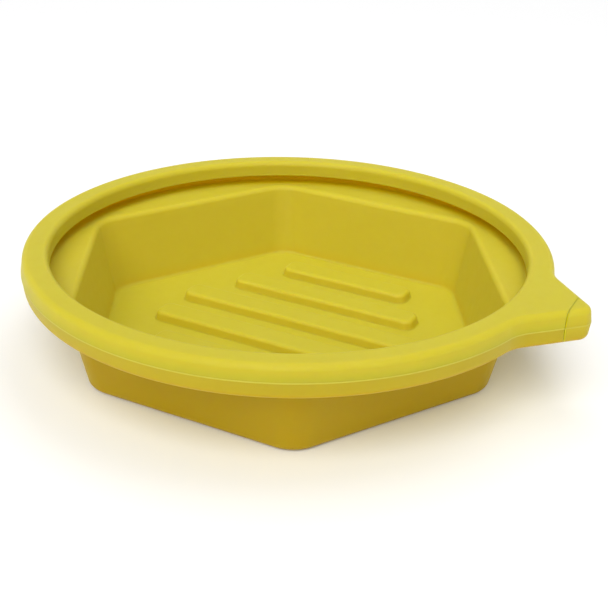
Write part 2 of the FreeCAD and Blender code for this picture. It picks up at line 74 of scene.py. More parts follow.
LAP_CLEARANCE = 0.00015
BEAD_DEPTH = 0.001
BEAD_PROUD = 0.0005
SUMP_APOTHEM = 0.2705
SUMP_DRAFT = math.radians(11.0)
SUMP_CORNER = 0.048
BASE_ROUNDING = 0.0095
SHOULDER_ROUNDING = 0.007
RIB_PITCH = 0.078
RIB_HEIGHT = 0.014
RIB_FOOT = 0.044
RIB_LEAN = 0.003
RIB_END_GAP = 0.086
RIB_CORNER = 0.016
RIB_ROUNDING = 0.006
RIB_FILLET = 0.0025
RIBS_PER_SIDE = 3
BODY_NODES = ["sump", "rim_trough"]
COVER_NODES = ["rim_cover", "splash_lip"]

COLUMNS = 760      # how many radial lines the round surfaces have
HOLD = 0.0007      # short flat stretch beside each rounding, which keeps flat faces flat
INSIDE_ONLY = 1    # kind of triangulation: nothing beyond the outer loop
SHARP_ANGLE = math.radians(24)

# Where the tints of painted light and shade begin and end.
OUTER_SIDE_RADIUS = 0.240    # a face that looks outwards is an outer side only beyond this
OUTER_SIDE_BLEND = 0.010
LOW_HEIGHT = 0.092           # below this an outer side counts as low
LOW_BLEND = 0.018
RIB_BAND_TOP = 0.0195        # the floor and its ribs lie below this
CHANNEL_RADIUS = 0.3345      # the hollow under the rim begins here, behind the lip
CHANNEL_BLEND = 0.012
CHANNEL_BOTTOM = 0.110
CHANNEL_TOP = 0.1535
LIP_BACK_RADIUS = 0.345      # in the hollow, a face that looks outwards counts up to here

# The moulding line: its waves, one ragged stretch and a few nibs.
FLASH_WAVES = (9, 14, 23, 37, 61, 97, 150)
RAGGED_FROM = math.radians(-156)
RAGGED_TO = math.radians(-126)
NIB_COUNT = 18
NIB_WIDTH = 0.0035           # radians
NIB_PROUD = 0.0003

# Colours of the skin.
# The first three paint light and shade: the deep orange is painted shade on the outer sides and the ribs'
# sides, the two pale ones painted light on the tops and inside, varied at random between them.
SHADED_ORANGE = (0.600, 0.390, 0.0003, 1)
PALE = (0.545, 0.468, 0.030, 1)
PALEST = (0.575, 0.502, 0.044, 1)
MOTTLED = (0.520, 0.435, 0.015, 1)
BLACK = (0.0, 0.0, 0.0, 1)
# Painted light: a brighter orange in the hollow under the rim stands in for light passing through the skin.
CHANNEL_GLOW = (0.80, 0.64, 0.002, 1)
SCUFFED = (0.70, 0.66, 0.25, 1)
SPECK = (0.20, 0.14, 0.01, 1)
FLASH_DARK = (0.550, 0.465, 0.012, 1)
FLASH_PALE = (0.600, 0.525, 0.045, 1)


# ---------------------------------------------------------------- outlines and profiles

def angles():
    """Polar angles of the radial lines: closer together at the sump's corners and the spout's necks.

    The density is 1 plus a bell at each multiple of 60 degrees and at both necks, and the
    angles are spread evenly over its running sum.
    """
    fine = np.linspace(-math.pi, math.pi, 20001)
    to_corner = np.abs((fine + math.pi / 6) % (math.pi / 3) - math.pi / 6)
    density = 1 + 2.2 * np.exp(-(to_corner / 0.085) ** 2)
    density += 2.0 * np.exp(-((np.abs(fine) - 0.20) / 0.09) ** 2)
    total = np.concatenate([[0], np.cumsum((density[1:] + density[:-1]) / 2)])
    places = np.arange(COLUMNS) / COLUMNS * total[-1]
    return np.interp(places, total, fine)


THETA = angles()


def outline(theta, inset):
    """Distance from the axis to the rim's plan, inset by so much, at a polar angle.

    Outwards from the spout's end it is an arc about a centre on the X axis, a straight side,
    an arc about the neck's centre that curves the other way, and the round rim.
    """
    turn = np.abs(theta)
    half = SPOUT_HALF_ANGLE
    reach = SPOUT_REACH
    span = RIM_RADIUS + NECK_ROUNDING
    bearing = math.asin((NECK_ROUNDING + reach * math.sin(half)) / span) - half
    centre = reach - TIP_ROUNDING / math.sin(half)
    tip = TIP_ROUNDING - inset
    neck = NECK_ROUNDING + inset
    end = math.atan2(tip * math.cos(half), centre + tip * math.sin(half))
    side_y = span * math.sin(bearing) - neck * math.cos(half)
    side_x = span * math.cos(bearing) - neck * math.sin(half)
    begin = math.atan2(side_y, side_x)
    on_tip = centre * np.cos(turn) + np.sqrt(np.maximum(tip ** 2 - (centre * np.sin(turn)) ** 2, 0))
    on_side = (reach * math.sin(half) - inset) / np.sin(half + turn)
    apart = turn - bearing
    on_neck = span * np.cos(apart) - np.sqrt(np.maximum(neck ** 2 - (span * np.sin(apart)) ** 2, 0))
    on_rim = np.full_like(turn, RIM_RADIUS - inset)
    return np.select([turn < end, turn < begin, turn < bearing], [on_tip, on_side, on_neck], on_rim)


def hexagon(theta, apothem, corner):
    """Distance from the axis to a hexagon with rounded corners, one of them on the X axis."""
    turn = np.abs((theta + math.pi / 6) % (math.pi / 3) - math.pi / 6)
    centre = (apothem - corner) / math.cos(math.pi / 6)
    switch = math.atan2(corner / 2, centre + corner * math.cos(math.pi / 6))
    on_corner = centre * np.cos(turn) + np.sqrt(np.maximum(corner ** 2 - (centre * np.sin(turn)) ** 2, 0))
    on_side = apothem / np.cos(math.pi / 6 - turn)
    return np.where(turn < switch, on_corner, on_side)


def rounded(corners, steps=8):
    """A profile through (distance, height, radius) corners, each rounded by an arc of its radius.

    The arc touches both straight runs, radius times tan(half the turn) from the corner.  A
    short hold point lies on each run just before and after an arc.
    """
    points = [np.array(corners[0][:2], float)]
    for before, here, after in zip(corners, corners[1:], corners[2:]):
        middle = np.array(here[:2], float)
        back = np.array(before[:2], float) - middle
        ahead = np.array(after[:2], float) - middle
        room = min(np.linalg.norm(back), np.linalg.norm(ahead))
        back /= np.linalg.norm(back)
        ahead /= np.linalg.norm(ahead)
        radius = here[2]
        if radius == 0:
            points.append(middle)
            continue
        half = math.acos(np.clip(back @ ahead, -1, 1)) / 2
        touch = radius / math.tan(half)
        centre = middle + (back + ahead) / np.linalg.norm(back + ahead) * radius / math.sin(half)
        start = middle + back * touch - centre
        end = middle + ahead * touch - centre
        sweep = math.acos(np.clip(start @ end / radius ** 2, -1, 1))
        hold = min(HOLD, max(room - touch, 0) / 2)
        if hold > 1e-5:
            points.append(middle + back * (touch + hold))
        for share in np.linspace(0, 1, steps + 1):
            mix = math.sin((1 - share) * sweep) * start + math.sin(share * sweep) * end
            points.append(centre + mix / math.sin(sweep))
        if hold > 1e-5:
            points.append(middle + ahead * (touch + hold))
    points.append(np.array(corners[-1][:2], float))
    return np.array(points)


def ring(radius, height):
    """One closed row of points: a distance for each radial line, all at one height."""
    radius = np.broadcast_to(radius, THETA.shape)
    return np.stack([radius * np.cos(THETA), radius * np.sin(THETA), np.full(THETA.shape, height)], 1)


def outline_rings(profile):
    """Rows along the rim's plan for a profile of (inset, height)."""
    return [ring(outline(THETA, inset), height) for inset, height in profile]


def circle_rings(profile):
    """Rows round the axis for a profile of (radius, height)."""
    return [ring(radius, height) for radius, height in profile]


def sump_rings(profile, skin):
    """Rows round the sump for a profile of (inset from the leaning side, height)."""
    rows = []
    for inset, height in profile:
        apothem = SUMP_APOTHEM + height * math.tan(SUMP_DRAFT) - (skin + inset) / math.cos(SUMP_DRAFT)
        rows.append(ring(hexagon(THETA, apothem, max(SUMP_CORNER - skin - inset, 0.004)), height))
    return rows


def between(first, last, count):
    """Rows evenly spaced from one row to another, both left out."""
    shares = np.arange(1, count + 1) / (count + 1)
    return [first * (1 - share) + last * share for share in shares]


# ---------------------------------------------------------------- meshes

class Shell:
    """Points and faces of one closed surface, gathered strip by strip."""

    def __init__(self):
        self.points = []
        self.faces = []
        self.count = 0

    def add(self, points):
        """Keep a block of points and give their numbers."""
        points = np.asarray(points, float).reshape(-1, 3)
        numbers = np.arange(self.count, self.count + len(points))
        self.points.append(points)
        self.count += len(points)
        return numbers

    def strip(self, rows, wrap=True, close=False, flip=False):
        """Quads between neighbouring rows of point numbers; rows may close on themselves."""
        rows = np.asarray(rows)
        upper = rows if close else rows[:-1]
        lower = np.roll(rows, -1, 0) if close else rows[1:]
        quads = np.stack([upper, np.roll(upper, -1, 1), np.roll(lower, -1, 1), lower], -1)
        if not wrap:
            quads = quads[:, :-1]
        quads = quads.reshape(-1, 4)
        if flip:
            quads = quads[:, ::-1]
        self.faces.extend(quads.tolist())

    def flat(self, outer, holes, height, upwards, spacing=0.0):
        """Triangles over a level region inside one loop of points and outside others.

        Loops are point numbers.  A lattice of extra points keeps the triangles even.
        """
        known = np.concatenate(self.points)
        loops = [np.asarray(outer)] + [np.asarray(hole) for hole in holes]
        numbers = np.concatenate(loops)
        plan = known[numbers][:, :2]
        edges = []
        first = 0
        for loop in loops:
            edges += [(first + i, first + (i + 1) % len(loop)) for i in range(len(loop))]
            first += len(loop)
        extra = np.zeros((0, 2))
        if spacing:
            low, high = plan.min(0), plan.max(0)
            grid = np.stack(np.meshgrid(np.arange(low[0], high[0], spacing),
                                        np.arange(low[1], high[1], spacing)), -1).reshape(-1, 2)
            extra = grid[self.clear(grid, [known[loop][:, :2] for loop in loops], spacing / 2)]
        cloud = [Vector(point) for point in np.concatenate([plan, extra])]
        triangles, origins = itemgetter(2, 3)(delaunay_2d_cdt(cloud, edges, [], INSIDE_ONLY, 1e-7))
        lattice = self.add([(p[0], p[1], height) for p in extra]) if len(extra) else []
        names = np.concatenate([numbers, lattice]).astype(int)
        name_of = [names[origin[0]] for origin in origins]
        corners = [[origins[i][0] for i in triangle] for triangle in triangles]
        middles = np.concatenate([plan, extra])[corners].mean(1)
        keep = np.ones(len(middles), bool)
        for hole in loops[1:]:
            keep &= ~self.inside(middles, known[hole][:, :2])
        for triangle, kept in zip(triangles, keep):
            if kept:
                face = [int(name_of[i]) for i in triangle]
                self.faces.append(face if upwards else face[::-1])

    @staticmethod
    def inside(points, loop):
        """Which points lie in a loop, by counting the edges crossed on the way out."""
        start, end = loop, np.roll(loop, -1, 0)
        y = points[:, 1][:, None]
        spans = (start[:, 1] > y) != (end[:, 1] > y)
        rise = np.where(end[:, 1] == start[:, 1], 1e-12, end[:, 1] - start[:, 1])
        x = start[:, 0] + (y - start[:, 1]) * (end[:, 0] - start[:, 0]) / rise
        return (spans & (points[:, 0][:, None] < x)).sum(1) % 2 == 1

    @classmethod
    def clear(cls, points, loops, distance):
        """Which points lie inside the first loop, outside the rest and away from all of them."""
        keep = cls.inside(points, loops[0])
        for loop in loops[1:]:
            keep &= ~cls.inside(points, loop)
        border = np.concatenate(loops)
        nearest = np.array([np.hypot(*(border - point).T).min() for point in points])
        return keep & (nearest > distance)

    def build(self, name, material, warp=True, cut=None):
        """Make the mesh object, warped a little, cut at a plane across X and closed there."""
        points = np.concatenate(self.points)
        if warp:
            points = points + drift(points)
        mesh = bpy.data.meshes.new(name)
        mesh.from_pydata(points.tolist(), [], self.faces)
        work = bmesh.new()
        work.from_mesh(mesh)
        if cut is not None:
            geometry = list(work.verts) + list(work.edges) + list(work.faces)
            made = bmesh.ops.bisect_plane(work, geom=geometry, dist=1e-6, plane_co=(cut, 0, 0),
                                          plane_no=(1, 0, 0), clear_outer=True)
            rim = [e for e in made["geom_cut"] if isinstance(e, bmesh.types.BMEdge)]
            bmesh.ops.holes_fill(work, edges=[e for e in rim if e.is_boundary], sides=0)
        bmesh.ops.recalc_face_normals(work, faces=work.faces)
        work.to_mesh(mesh)
        work.free()
        mesh.shade_smooth()
        mesh.set_sharp_from_angle(angle=SHARP_ANGLE)
        for label, values in painted_light_weights(mesh).items():
            mesh.attributes.new(label, "FLOAT", "POINT").data.foreach_set("value", values.astype(np.float32))
        piece = bpy.data.objects.new(name, mesh)
        bpy.context.scene.collection.objects.link(piece)
        mesh.materials.append(material)
        return piece


def painted_light_weights(mesh):
    """Four weights from 0 to 1 for each point of a mesh, by attribute name.

    They place tints which paint light and shade into the colour, standing in for light falling on the
    pan and for light scattered in and passing through the skin; none of them records real wear.  The
    first picks the paler tint, painted light: most inside the pan and on top, least on the sump's outer
    sides and the ribs' sides, which keep the deeper orange as painted shade.  "level" is how level a
    place lies.  "shade" is painted shade that darkens the outer sides that lean under.  "channel" marks
    the hollow under the rim, where a brighter tint is painted light.
    """
    count = len(mesh.vertices)
    place = np.empty(count * 3)
    normal = np.empty(count * 3)
    mesh.vertices.foreach_get("co", place)
    mesh.vertex_normals.foreach_get("vector", normal)
    place, normal = place.reshape(-1, 3), normal.reshape(-1, 3)
    height, rise = place[:, 2], normal[:, 2]
    radius = np.hypot(place[:, 0], place[:, 1])
    outward = (place[:, 0] * normal[:, 0] + place[:, 1] * normal[:, 1]) / np.maximum(radius, 1e-6)
    looks_out = np.clip(outward * 4, 0, 1)
    outside = looks_out * np.clip((radius - OUTER_SIDE_RADIUS) / OUTER_SIDE_BLEND, 0, 1)
    low = 1 - np.clip((height - LOW_HEIGHT) / LOW_BLEND, 0, 1)
    outer = np.clip((rise + 0.50) / 0.75, 0, 1) * (1 - 0.85 * low)
    rib_side = (height < RIB_BAND_TOP) * np.clip(0.8 - rise, 0, 1)
    inner = np.clip(0.93 + 0.20 * rise, 0, 1) - 0.4 * rib_side
    lean = outside * np.clip((0.04 - rise) / 0.15, 0, 1)
    hollow = np.clip((radius - CHANNEL_RADIUS) / CHANNEL_BLEND, 0, 1)
    hollow *= (height < CHANNEL_TOP) * (height > CHANNEL_BOTTOM)
    hollow *= np.where(outward > 0.2, radius < LIP_BACK_RADIUS, 1)
    return {
        "fading": outside * outer + (1 - outside) * inner,
        "level": np.clip(rise, 0, 1),
        "shade": lean * (0.50 + 0.50 * low),
        "channel": hollow,
    }


def drift(points):
    """How far the cooled moulding wanders from its drawn shape: slow waves, under half a millimetre.

    The top is lowered and the foot raised by the waves' height, so none passes its drawn level.
    """
    x, y, z = points.T
    wave = np.zeros_like(points)
    wave[:, 2] = 0.00022 * np.sin(9.1 * x + 1.3) * np.cos(7.7 * y - 0.4)
    wave[:, 2] += 0.00012 * np.sin(23 * x - 17 * y + 2.1)
    wave[:, 2] += 0.00034 * (1 - 2 * z / RIM_HEIGHT)
    wave[:, 0] = 0.00020 * np.sin(8.3 * y + 11 * z + 0.6)
    wave[:, 1] = 0.00020 * np.sin(7.9 * x - 9 * z + 2.6)
    return wave


# ---------------------------------------------------------------- the pan's pieces

def seam_bevel(side):
    """Inset and height where the V groove at the seam meets the skirt; side is 1 above, -1 below."""
    lean = UPPER_DRAFT if side > 0 else LOWER_DRAFT
    return BEAD_DEPTH * math.sin(lean), SEAM_HEIGHT + side * BEAD_DEPTH * math.cos(lean)


def upper_wall(inset, height):
    """Inset of the skirt above the seam at a height, for a skin that far inside."""
    return inset + (height - SEAM_HEIGHT) * math.tan(UPPER_DRAFT)


def lower_wall(inset, height):
    """Inset of the skirt below the seam at a height, for a skin that far inside."""
    return inset + (SEAM_HEIGHT - height) * math.tan(LOWER_DRAFT)


def rim_cover(material):
    """Upper shell: one loop of rows over the skirt, roof and lip and back along the inside."""
    roof = RIM_HEIGHT
    ceiling = RIM_HEIGHT - WALL
    above = SEAM_HEIGHT + BEAD_DEPTH + HOLD
    skirt = rounded([
        (*seam_bevel(1), 0),
        (upper_wall(0, above), above, 0),
        (upper_wall(0, roof), roof, RIM_ROUNDING),
        (upper_wall(0, roof) + 0.012, roof, 0),
    ], 12)
    outside = outline_rings([(BEAD_DEPTH, SEAM_HEIGHT), *skirt])
    lip = circle_rings(rounded([
        (LIP_RADIUS + 0.010, roof, 0),
        (LIP_RADIUS, roof, LIP_ROUNDING),
        (LIP_RADIUS, LIP_BOTTOM, 0.0014),
        (LIP_RADIUS + WALL, LIP_BOTTOM, 0.0014),
        (LIP_RADIUS + WALL, ceiling, LIP_ROUNDING - WALL),
        (LIP_RADIUS + WALL + 0.006, ceiling, 0),
    ], 9))
    rebate = SEAM_HEIGHT + TONGUE_HEIGHT + LAP_CLEARANCE
    step = WALL - TONGUE_WALL - LAP_CLEARANCE
    inside = outline_rings(rounded([
        (upper_wall(WALL, ceiling) + 0.008, ceiling, 0),
        (upper_wall(WALL, ceiling), ceiling, RIM_ROUNDING - WALL),
        (upper_wall(WALL, rebate), rebate, 0),
        (step, rebate, 0),
        (step, SEAM_HEIGHT, 0),
    ], 5))
    rows = outside + between(outside[-1], lip[0], 3) + lip + between(lip[-1], inside[0], 2) + inside
    shell = Shell()
    shell.strip([shell.add(row) for row in rows], close=True)
    return shell.build("rim_cover_shell", material, cut=TIP_JOINT - GROOVE_WIDTH / 2)


def bar_loop(half_length, half_width, corner, inset):
    """A long rectangle with rounded corners as a loop of points, anticlockwise, all inset alike."""
    flat, side, bend = half_length - corner, half_width - corner, max(corner - inset, 0.0008)
    flat += corner - inset - bend
    side += corner - inset - bend
    quarter = np.linspace(0, math.pi / 2, 9)
    parts = []
    for number, (x, y) in enumerate([(flat, side), (-flat, side), (-flat, -side), (flat, -side)]):
        turn = quarter + number * math.pi / 2
        parts.append(np.stack([x + bend * np.cos(turn), y + bend * np.sin(turn)], 1))
    loop = np.concatenate(parts)
    ends = np.roll(loop, -1, 0)
    long_runs = {8: 24, 17: 4, 26: 24, 35: 4}
    points = []
    for number, (start, end) in enumerate(zip(loop, ends)):
        pieces = long_runs.get(number, 1)
        points += [start + (end - start) * share for share in np.arange(pieces) / pieces]
    return np.array(points)


def ribs():
    """Centre line and half-length of each floor rib."""
    apothem = SUMP_APOTHEM + WALL * math.tan(SUMP_DRAFT) - WALL / math.cos(SUMP_DRAFT)
    reach = apothem / math.cos(math.pi / 6)
    for step in range(-RIBS_PER_SIDE, RIBS_PER_SIDE):
        centre = (step + 0.5) * RIB_PITCH
        yield centre, reach - abs(centre) * math.tan(math.pi / 6) - RIB_END_GAP


def rib_rows(shell, centre, half_length, profile):
    """Rows of a rib: its rounded rectangle, inset and raised as the profile says."""
    rows = []
    for inset, height in profile:
        loop = bar_loop(half_length, RIB_FOOT / 2, RIB_CORNER, inset)
        rows.append(shell.add([(x, y + centre, height) for x, y in loop]))
    return rows


def pan_body(material):
    """Lower shell: one strip of rows from the base up the outside, over the seam and down inside."""
    under = LEDGE_UNDERSIDE
    below = SEAM_HEIGHT - BEAD_DEPTH - HOLD
    base_out = sump_rings(rounded([
        (BASE_ROUNDING + 0.006, 0, 0),
        (0, 0, BASE_ROUNDING),
        (0, under - 0.02, 0),
    ], 10), 0)
    shoulder_out = sump_rings(rounded([
        (0, under - 0.012, 0),
        (0, under, SHOULDER_ROUNDING - WALL),
        (-0.006, under, 0),
    ], 5), 0)
    skirt = outline_rings(rounded([
        (lower_wall(0, under) + SKIRT_ROUNDING + 0.003, under, 0),
        (lower_wall(0, under), under, SKIRT_ROUNDING),
        (lower_wall(0, below), below, 0),
        (*seam_bevel(-1), 0),
    ], 12))
    tongue = outline_rings([
        (BEAD_DEPTH, SEAM_HEIGHT),
        (WALL - TONGUE_WALL, SEAM_HEIGHT),
        (WALL - TONGUE_WALL, SEAM_HEIGHT + TONGUE_HEIGHT),
        (WALL, SEAM_HEIGHT + TONGUE_HEIGHT),
    ])
    channel = outline_rings(rounded([
        (WALL, SEAM_HEIGHT, 0),
        (lower_wall(WALL, LEDGE_HEIGHT), LEDGE_HEIGHT, SKIRT_ROUNDING - WALL),
        (lower_wall(WALL, LEDGE_HEIGHT) + 0.012, LEDGE_HEIGHT, 0),
    ], 8))
    shoulder_in = sump_rings(rounded([
        (-0.010, LEDGE_HEIGHT, 0),
        (0, LEDGE_HEIGHT, SHOULDER_ROUNDING),
        (0, LEDGE_HEIGHT - 0.020, 0),
    ], 10), WALL)
    floor_in = sump_rings(rounded([
        (0, WALL + 0.020, 0),
        (0, WALL, BASE_ROUNDING - WALL),
        (BASE_ROUNDING, WALL, 0),
    ], 8), WALL)
    rows = base_out + between(base_out[-1], shoulder_out[0], 3) + shoulder_out
    rows += between(shoulder_out[-1], skirt[0], 2) + skirt + tongue + channel
    rows += between(channel[-1], shoulder_in[0], 2) + shoulder_in
    rows += between(shoulder_in[-1], floor_in[0], 3) + floor_in
    shell = Shell()
    numbers = [shell.add(row) for row in rows]
    shell.strip(numbers)
    crest = WALL + RIB_HEIGHT
    standing = rounded([
        (-0.006, WALL, 0),
        (0, WALL, RIB_FILLET),
        (RIB_LEAN, crest, RIB_ROUNDING),
        (RIB_LEAN + 0.009, crest, 0),
    ], 7)
    hollow = rounded([
        (WALL - 0.004, 0, 0),
        (WALL, 0, 0.0015),
        (WALL + RIB_LEAN, RIB_HEIGHT, 0.002),
        (WALL + RIB_LEAN + 0.004, RIB_HEIGHT, 0),
    ], 5)
    feet, mouths = [], []
    for centre, half_length in ribs():
        rows = rib_rows(shell, centre, half_length, standing)
        shell.strip(rows)
        shell.flat(rows[-1], [], crest, True)
        feet.append(rows[0])
        rows = rib_rows(shell, centre, half_length, hollow)
        shell.strip(rows)
        shell.flat(rows[-1], [], RIB_HEIGHT, False)
        mouths.append(rows[0])
    shell.flat(numbers[-1], feet, WALL, True, 0.018)
    shell.flat(numbers[0], mouths, 0, False, 0.030)
    return shell.build("pan_body_shell", material, cut=TIP_JOINT - GROOVE_WIDTH / 2)


def tip_profile(skin, steps):
    """Inset and height down the flank of the spout's end, for a skin that far inside."""
    roof, under = RIM_HEIGHT - skin, LEDGE_UNDERSIDE + skin
    return rounded([
        (upper_wall(skin, roof) + 0.012, roof, 0),
        (upper_wall(skin, roof), roof, max(RIM_ROUNDING - skin, 0.0008)),
        (skin, SEAM_HEIGHT, 0),
        (lower_wall(skin, under), under, max(SKIRT_ROUNDING - skin, 0.0008)),
        (lower_wall(skin, under) + 0.015, under, 0),
    ], steps)[1:-1]


def tip_loop(profile, place):
    """The closed section of the spout at a plane across X: down one flank and up the other."""
    half = (SPOUT_REACH - place) * math.tan(SPOUT_HALF_ANGLE) - profile[:, 0] / math.cos(SPOUT_HALF_ANGLE)
    left = np.stack([np.full(len(half), place), half, profile[:, 1]], 1)
    right = left * (1, -1, 1)
    return np.concatenate([left, right[::-1]])


def tip_cap(shell, profile, place, outward):
    """The closed nose beyond a plane across X; gives the numbers of the loop in that plane."""
    shares = np.linspace(1, -1, 61)
    rows = []
    for inset, height in profile:
        edge = (SPOUT_REACH - place) * math.tan(SPOUT_HALF_ANGLE) - inset / math.cos(SPOUT_HALF_ANGLE)
        theta = shares * math.atan2(edge, place)
        radius = outline(theta, inset)
        rows.append(shell.add(np.stack([radius * np.cos(theta), radius * np.sin(theta),
                                        np.full(theta.shape, height)], 1)))
    shell.strip(rows, wrap=False, flip=not outward)
    shell.faces.append([int(n) for n in (rows[0] if outward else rows[0][::-1])])
    shell.faces.append([int(n) for n in (rows[-1][::-1] if outward else rows[-1])])
    return np.concatenate([[row[0] for row in rows], [row[-1] for row in rows][::-1]])


def spout_tip(material):
    """Closed end of the spout: nose, groove neck and hollow plug, joined ring to ring.

    The neck lies deepest under the roof and comes up nearly flush at the foot of the flank,
    so the groove across the top fades on its way down.
    """
    front = TIP_JOINT + GROOVE_WIDTH / 2
    rear = TIP_JOINT - GROOVE_WIDTH / 2
    steps = 9
    outer = tip_profile(0, steps)
    deep = tip_profile(GROOVE_SHOWN, steps)
    shallow = tip_profile(0.0001, steps)
    fade = np.clip((RIM_HEIGHT - 0.006 - outer[:, 1]) / 0.024, 0, 1)[:, None]
    neck = deep * (1 - fade) + shallow * fade
    plug = tip_profile(WALL + SPIGOT_CLEARANCE, steps)
    hollow = tip_profile(WALL + SPIGOT_CLEARANCE + SPIGOT_WALL, steps)
    shell = Shell()
    first = tip_cap(shell, outer, front, True)
    rings = [first]
    for profile, place in ((neck, front), (neck, rear), (plug, rear), (plug, rear - SPIGOT_LENGTH),
                           (hollow, rear - SPIGOT_LENGTH)):
        rings.append(shell.add(tip_loop(profile, place)))
    rings.append(tip_cap(shell, hollow, front, False))
    shell.strip(rings)
    return shell.build("spout_tip_shell", material)


def seam_bead(material):
    """The moulding line: a low ridge in the V groove whose height comes and goes along the seam."""
    rng = np.random.default_rng(7)
    waves = np.zeros_like(THETA)
    for order in FLASH_WAVES:
        waves += np.sin(order * THETA + rng.uniform(0, 2 * math.pi)) / order ** 0.35
    ragged = np.clip((THETA - RAGGED_FROM) / 0.03, 0, 1) * np.clip((RAGGED_TO - THETA) / 0.05, 0, 1)
    strength = np.clip(0.06 + 0.06 * waves, 0.0, 0.25) + ragged * np.clip(0.45 + 0.2 * waves, 0.2, 0.6)
    places = rng.uniform(-math.pi, math.pi, NIB_COUNT)
    nibs = sum(np.exp(-((THETA - place) / NIB_WIDTH) ** 2) for place in places)
    proud = BEAD_PROUD * strength + NIB_PROUD * np.clip(nibs, 0, 1)
    up_inset, up_height = seam_bevel(1)
    low_inset, low_height = seam_bevel(-1)
    rows = [ring(outline(THETA, up_inset), up_height)]
    shares = (0.45, 0.85, 1.0, 0.85, 0.45)
    for share, height in zip(shares, np.linspace(up_height, low_height, len(shares) + 2)[1:-1]):
        rows.append(ring(outline(THETA, 0.0) + share * proud - 0.00002, height))
    rows.append(ring(outline(THETA, low_inset), low_height))
    rows.append(ring(outline(THETA, BEAD_DEPTH), SEAM_HEIGHT))
    shell = Shell()
    shell.strip([shell.add(row) for row in rows], close=True)
    return shell.build("seam_flash", material)


# ---------------------------------------------------------------- materials

class Number:
    """A shader value; each operator used on it adds a Math node."""

    def __init__(self, tree, socket):
        self.tree = tree
        self.socket = socket

    def _math(self, operation, first, second):
        made = self.tree.node("ShaderNodeMath", {"operation": operation}, {0: first, 1: second})
        return Number(self.tree, made.outputs[0])

    def __add__(self, other):
        return self._math("ADD", self, other)

    def __radd__(self, other):
        return self._math("ADD", other, self)

    def __mul__(self, other):
        return self._math("MULTIPLY", self, other)

    def __rmul__(self, other):
        return self._math("MULTIPLY", other, self)

    def __gt__(self, other):
        return self._math("GREATER_THAN", self, other)

    def __lt__(self, other):
        return self._math("LESS_THAN", self, other)


class Tree:
    """A material's nodes, with one way to add any of them."""

    def __init__(self, name):
        self.material = bpy.data.materials.new(name)
        self.material.use_nodes = True
        self.nodes = self.material.node_tree.nodes
        self.links = self.material.node_tree.links
        self.nodes.clear()

    def node(self, kind, settings=None, values=None):
        """Add a node, set its settings, then link or set its sockets."""
        made = self.nodes.new(kind)
        for name, setting in (settings or {}).items():
            if name == "stops":
                self.set_stops(made.color_ramp, setting)
            else:
                setattr(made, name, setting)
        for name, value in (values or {}).items():
            if isinstance(value, Number):
                value = value.socket
            if isinstance(value, bpy.types.NodeSocket):
                self.links.new(value, made.inputs[name])
            else:
                made.inputs[name].default_value = value
        return made

    @staticmethod
    def set_stops(ramp, stops):
        while len(ramp.elements) < len(stops):
            ramp.elements.new(0.5)
        for element, (place, value) in zip(ramp.elements, stops):
            element.position = place
            element.color = (value, value, value, 1) if isinstance(value, float) else value

    def noise(self, place, scale, detail=2.0, roughness=0.5):
        made = self.node("ShaderNodeTexNoise", {}, {"Vector": place, "Scale": scale, "Detail": detail,
                                                    "Roughness": roughness})
        return Number(self, made.outputs["Fac"])

    def ramp(self, value, stops):
        made = self.node("ShaderNodeValToRGB", {"stops": stops}, {"Fac": value})
        return Number(self, made.outputs["Color"])

    def mix(self, factor, first, second):
        made = self.node("ShaderNodeMix", {"data_type": "RGBA"}, {0: factor, 6: first, 7: second})
        return made.outputs[2]

    def attribute(self, name):
        return Number(self, self.node("ShaderNodeAttribute", {"attribute_name": name}).outputs["Fac"])

    def finish(self, values, bumps):
        """Principled shader with bumps one on another, each (height, distance, strength)."""
        normal = None
        for height, distance, strength in bumps:
            inputs = {"Height": height, "Distance": distance, "Strength": strength}
            if normal is not None:
                inputs["Normal"] = normal
            normal = self.node("ShaderNodeBump", {}, inputs).outputs["Normal"]
        if normal is not None:
            values = {**values, "Normal": normal}
        shader = self.node("ShaderNodeBsdfPrincipled", {}, values)
        self.node("ShaderNodeOutputMaterial", {}, {"Surface": shader.outputs["BSDF"]})
        return self.material


